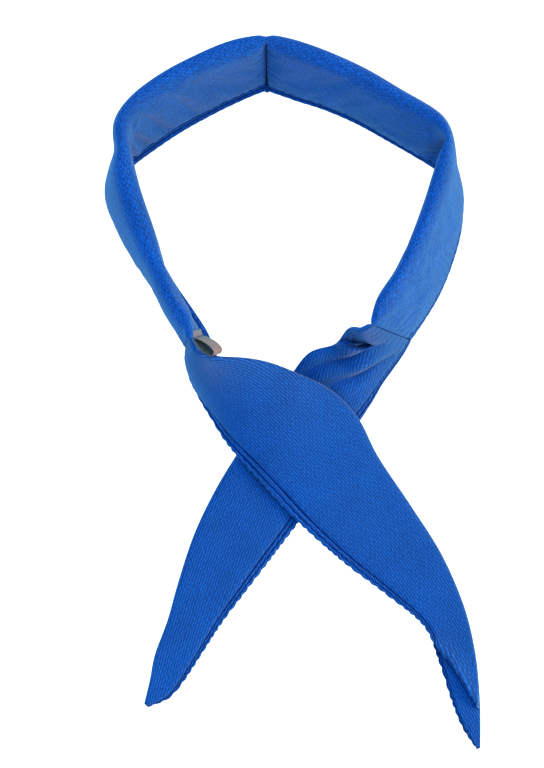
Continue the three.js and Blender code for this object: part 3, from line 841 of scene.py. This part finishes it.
# Tail on the right half, under the other. Two layers of knit again. Where it leaves the padded
# band it falls sideways off its edge, and the slack runs into soft folds from the cross seam.
TAIL_UNDER = (
    (64.9, 21.6, 0.0, 45.4, 13.8, 48.0, 0.5, 0.0, 1),
    (61.0, 14.0, 1.0, 40.9, 13.8, 42.6, 1.0, 0.0, 1),
    (56.2, 6.8, 1.2, 36.6, 14.6, 35.0, 1.5, 0.0, 1),
    (51.4, -0.3, 1.5, 32.8, 13.5, 26.0, 2.0, 0.0, 1),
    (46.7, -9.0, 1.5, 27.8, 13.4, 17.5, 2.0, 0.0, 1),
    (39.5, -20.6, 1.5, 16.6, 10.4, 14.0, 1.0, 0.0, 1),
    (31.8, -33.5, 1.5, 6.6, -1.0, 6.5, 0.5, 0.0, 1),
    (24.2, -46.4, 1.5, -3.2, -14.2, 3.0, 0.0, 0.0, 1),
    (15.9, -61.5, 1.5, -13.6, -30.2, 1.8, 0.0, 0.0, 1),
    (3.4, -79.0, 1.5, -25.6, -50.5, 1.5, 0.0, 0.0, 1),
    (-9.4, -96.2, 1.5, -35.6, -72.1, 1.5, 0.0, 0.0, 1),
    (-22.3, -113.7, 1.5, -42.8, -94.8, 1.5, 0.0, 0.0, 1),
    (-31.6, -128.3, 1.5, -47.7, -113.2, 1.5, 0.0, 0.0, 1),
    (-39.6, -140.9, 1.5, -53.2, -128.9, 1.5, 0.0, 0.0, 1),
    (-46.6, -149.2, 1.5, -55.4, -140.7, 1.5, 0.0, 0.0, 1),
    (-56.0, -153.2, 1.5, -57.8, -151.6, 1.5, 0.0, 0.0, 0.8),
)
# along and across where each fold starts and ends, its height in mm, and its spread
UNDER_FOLDS = (
    (0.03, 0.17, 0.40, 0.66, -3.2, 0.09),
    (0.03, 0.20, 0.42, 0.84, 2.0, 0.10),
    (0.04, 0.53, 0.42, 0.90, -3.0, 0.075),
    (0.09, 1.00, 0.26, 1.00, -3.2, 0.12),
)
# Beside the seam one fold's rim stands over a deep pocket, on the way from the band to the table.
# A row is a point of the rim: along and across.
RIM = (
    (0.090, 0.57),
    (0.133, 0.70),
    (0.165, 0.81),
    (0.193, 0.90),
    (0.222, 1.00),
    (0.300, 1.25),
)
# Shares of the tail's length where the pocket begins, is whole, starts to close and ends
POCKET_SPAN = (0.095, 0.140, 0.240, 0.310)
POCKET_SHARE = (0, 1, 1, 0)
# mm square to the rim across the whole strip, which the rim crosses on a slant
RIM_WIDTH = 41.0
# mm over which the rim is rounded
RIM_ROUND = 1.4
# Lifts, depths and slides by the rim in mm, each with how far it reaches
RIM_LIFT = 1.8
POCKET_DEPTH = 5.0
POCKET_REACH = 6.0
RIM_LEAN = 1.5
RIM_LEAN_REACH = 3.0
FLOOR_SLIDE = 8.0
FLOOR_SLIDE_REACH = 3.6
# The share of the strip beside its fold where the pocket fades, so that the outline stays
POCKET_FADE = 0.08
under_strip = Strip(TAIL_COLUMNS, TAIL_UNDER, side=-1, folds=UNDER_FOLDS)


def to_rim(cover):
    """How far each point is behind the pocket's rim in mm, how much of it is past that rim, and
    how much the pocket counts there."""
    along_rim, across_rim = np.array(RIM).T
    behind = (cover.across - np.interp(cover.along, along_rim, across_rim)) * RIM_WIDTH
    past = np.clip(behind / RIM_ROUND + 0.5, 0, 1)
    near = np.interp(cover.along, POCKET_SPAN, POCKET_SHARE)
    fade = np.clip((1 - cover.across) / POCKET_FADE, 0, 1)
    return behind, past, near * near * (3 - 2 * near) * fade


def under_relief(cover):
    """Puckers, the cross seam's pull, and the pocket with its rim."""
    lift = gathers(cover, *TAIL_PUCKERS) + seam_pull(cover, cover.distance, *RIGHT_SEAM_PULL)
    behind, past, near = to_rim(cover)
    rim = RIM_LIFT * fade_out(-behind, POCKET_REACH) * (1 - past)
    pocket = POCKET_DEPTH * fade_out(behind, POCKET_REACH) * past
    return lift + near * (rim - pocket)


def pocket_sink(cover):
    """The pocket's floor goes down under its rim, which leans out over it."""
    behind, past, near = to_rim(cover)
    rim = RIM_LEAN * fade_out(-behind, RIM_LEAN_REACH) * (1 - past)
    floor = FLOOR_SLIDE * fade_out(behind, FLOOR_SLIDE_REACH) * past
    return near * (floor - rim)


tail_under = make_tail("knit_tail_under", under_strip, (right_cross_seam, None), under_relief,
                       tail_hem(0.45), grain=(-0.42, -0.95), turn=10.0, sink=pocket_sink)
dress(tail_under, "tail_under", (knit, seam_shade_material))


# Label. A woven polyester tape, folded double and caught by its two ends in the left cross seam,
# so that it springs open in a leaf shape. Its print is left off.
# Where the tape comes out of the seam, the way that it runs and the way that its width falls
LABEL_SEAM = (-35.6, 6.9, 47.3)
LABEL_RUN = Vector((0.78, -0.63, 0.0))
LABEL_FALL = Vector((0.38, 0.40, -0.83)).normalized()
LABEL_LENGTH = 12.0
LABEL_WIDTH = 10.0
LABEL_GAP = 3.2
TAPE_THICKNESS = 0.5
TAPE_STEPS_ACROSS = 12
LOOP_STEPS = 48
# mm of tape in the loop, and from one thread to the next: about twice a real one, so that it shows
LOOP_TAPE = 26.0
THREAD_PITCH = 0.4


def woven_tape(name, dark, pale, sheen):
    """Satin-woven polyester label tape: matte, with fine cross threads."""
    material, tree, surface = new_material(name, 0.7, 0.15, sheen)
    cloth = node(tree, "ShaderNodeUVMap", {"uv_map": "tape"})
    weave = node(tree, "ShaderNodeTexWave", {"Scale": 0.05 * math.tau / (THREAD_PITCH * MM),
                                             "Distortion": 0.3}, {"Vector": (cloth, 0)})
    tint = node(tree, "ShaderNodeMix", {"data_type": "RGBA", 6: linear(dark),
                                        7: linear(pale)}, {0: (weave, "Fac")})
    tree.links.new(tint.outputs[2], surface.inputs["Base Color"])
    bump = node(tree, "ShaderNodeBump", {"Strength": 0.4, "Distance": 0.1 * MM},
                {"Height": (weave, "Fac")})
    tree.links.new(bump.outputs[0], surface.inputs["Normal"])
    return material


def tape_piece(name, anchor, run, path, width):
    """A ribbon of tape that follows a path drawn in the plane across the seam. Its inner side has
    the second of its two materials, which for the label is darker, partly painted shade for the
    loop's hollow."""
    down = LABEL_FALL
    out = (run - down * run.dot(down)).normalized()
    sideways = out.cross(down)
    steps = len(path) - 1
    bm = bmesh.new()
    bm.loops.layers.uv.new("tape")
    bmesh.ops.create_grid(bm, x_segments=steps, y_segments=TAPE_STEPS_ACROSS, size=0.5,
                          calc_uvs=True)
    start = Vector(anchor) + Vector((*LIE, 0.0))
    for vert in bm.verts:
        reach, rise = path[round((vert.co.x + 0.5) * steps)]
        drop = (vert.co.y + 0.5) * width
        vert.co = (start + out * reach + sideways * rise + down * drop) * MM
    uv = bm.loops.layers.uv["tape"]
    for face in bm.faces:
        face.smooth = True
        for loop in face.loops:
            loop[uv].uv = (loop[uv].uv[0] * LOOP_TAPE * MM, loop[uv].uv[1] * width * MM)
    bmesh.ops.solidify(bm, geom=bm.faces[:], thickness=TAPE_THICKNESS * MM)
    bmesh.ops.recalc_face_normals(bm, faces=bm.faces)
    bm.normal_update()
    for face in bm.faces:
        rise = (face.calc_center_median() / MM - start).dot(sideways)
        # Inner faces take the second material: for the label a darker copy, partly painted shade
        # inside the loop
        face.material_index = int(face.normal.dot(sideways) * rise < 0)
    return piece_of(bm, name)


def leaf_path(length, half_height):
    """Out along one side of the loop, round its end and back along the other."""
    highest = 0.401
    path = []
    for i in range(LOOP_STEPS + 1):
        turn = math.pi * i / LOOP_STEPS
        along = math.sin(turn)
        height = (along**0.9) * max(0.0, 1 - along) ** 0.5 / highest
        side = 1 if turn < math.pi / 2 else -1
        path.append((along * length, side * (TAPE_THICKNESS + half_height * height)))
    path[LOOP_STEPS // 2] = (length, 0.0)
    return path


tape = woven_tape("woven_polyester_tape", "887468", "a89286", 0.2)
# The loop's inner side is darker and redder than its outer side: the tape's duller reverse, and
# painted shade for the hollow inside the loop
tape_reverse_and_shade = woven_tape("woven_polyester_tape_reverse_painted_shade", "7a5c5b", "946d6c", 0.0)
label = tape_piece("tape_label_loop", LABEL_SEAM, LABEL_RUN,
                   leaf_path(LABEL_LENGTH - 0.4, LABEL_GAP / 2), LABEL_WIDTH)
dress(label, "label_loop", (tape, tape_reverse_and_shade))


# Second tape. Short, paler and as wide as the label, it is caught in the same seam behind the
# loop, so that only its last three millimetres show, bent over towards the band.
second_tape = woven_tape("pale_woven_polyester_tape", "74767c", "8e9096", 0.2)
flap_start = (LABEL_SEAM[0] - 0.3, LABEL_SEAM[1] + 0.3, LABEL_SEAM[2] + 0.2)
flap_path = [(3.0 * t, -0.8 * t * (2 - t) - 0.4) for t in (0, 0.25, 0.5, 0.75, 1)]
flap = tape_piece("tape_label_flap", flap_start, Vector((-0.4, 0.92, 0.0)), flap_path,
                  LABEL_WIDTH)
dress(flap, "label_flap", (second_tape, second_tape))


# Ground: the pale, plain sweep that the wrap is laid on for its picture. Its white is for the
# picture alone: the room's own light reaches the cloth instead of it.
flat_square = bmesh.new()
bmesh.ops.create_grid(flat_square, x_segments=1, y_segments=1, size=3.0)
ground = piece_of(flat_square, "floor")
sweep, _, sweep_surface = new_material("white_paper_sweep", 0.9, 0.1)
sweep_surface.inputs["Base Color"].default_value = linear("808080")
sweep_surface.inputs["Emission Color"].default_value = linear("ffffff")
sweep_surface.inputs["Emission Strength"].default_value = 0.85
ground.data.materials.append(sweep)
ground.visible_diffuse = False
ground.visible_glossy = False


# Light: a warm soft box low on the right, a weaker and cooler one overhead, and the pale blue
# light of the room from all round
SOFT_BOX_SIDE = 0.5


def soft_box(name, place, power, colour):
    """A square soft box that is turned to the frame's origin."""
    lamp = bpy.data.lights.new(name, "AREA")
    lamp.size = SOFT_BOX_SIDE
    lamp.energy = power
    lamp.color = linear(colour)[:3]
    holder = in_scene(name, lamp)
    holder.location = place
    holder.rotation_euler = Vector(place).to_track_quat("Z", "Y").to_euler()


soft_box("key_soft_box", (1.2, -0.4, 0.45), power=15.4, colour="ffbc89")
soft_box("top_soft_box", (0.0, 0.1, 1.3), power=3.9, colour="99d1ff")
room = bpy.data.worlds.new("pale_blue_room")
room.use_nodes = True
room.node_tree.nodes["Background"].inputs["Color"].default_value = linear("a8e4ff")
room.node_tree.nodes["Background"].inputs["Strength"].default_value = 0.84
bpy.context.scene.world = room
bpy.context.scene.view_settings.view_transform = "Standard"
bpy.context.scene.view_settings.look = "High Contrast"


# Camera: in front of the wrap and well above it, where the photograph was taken from
CAMERA_RISE = math.radians(73.0)
CAMERA_AWAY = 1500.0
lens = bpy.data.cameras.new("camera")
lens.sensor_width = 36.0
lens.lens = 150.6
lens.clip_start = 0.05
eye = in_scene("camera", lens)
in_front = LIE[1] - CAMERA_AWAY * math.cos(CAMERA_RISE)
eye.location = (LIE[0] * MM, in_front * MM, CAMERA_AWAY * math.sin(CAMERA_RISE) * MM)
eye.rotation_euler = (math.pi / 2 - CAMERA_RISE, 0.0, 0.0)
bpy.context.scene.camera = eye
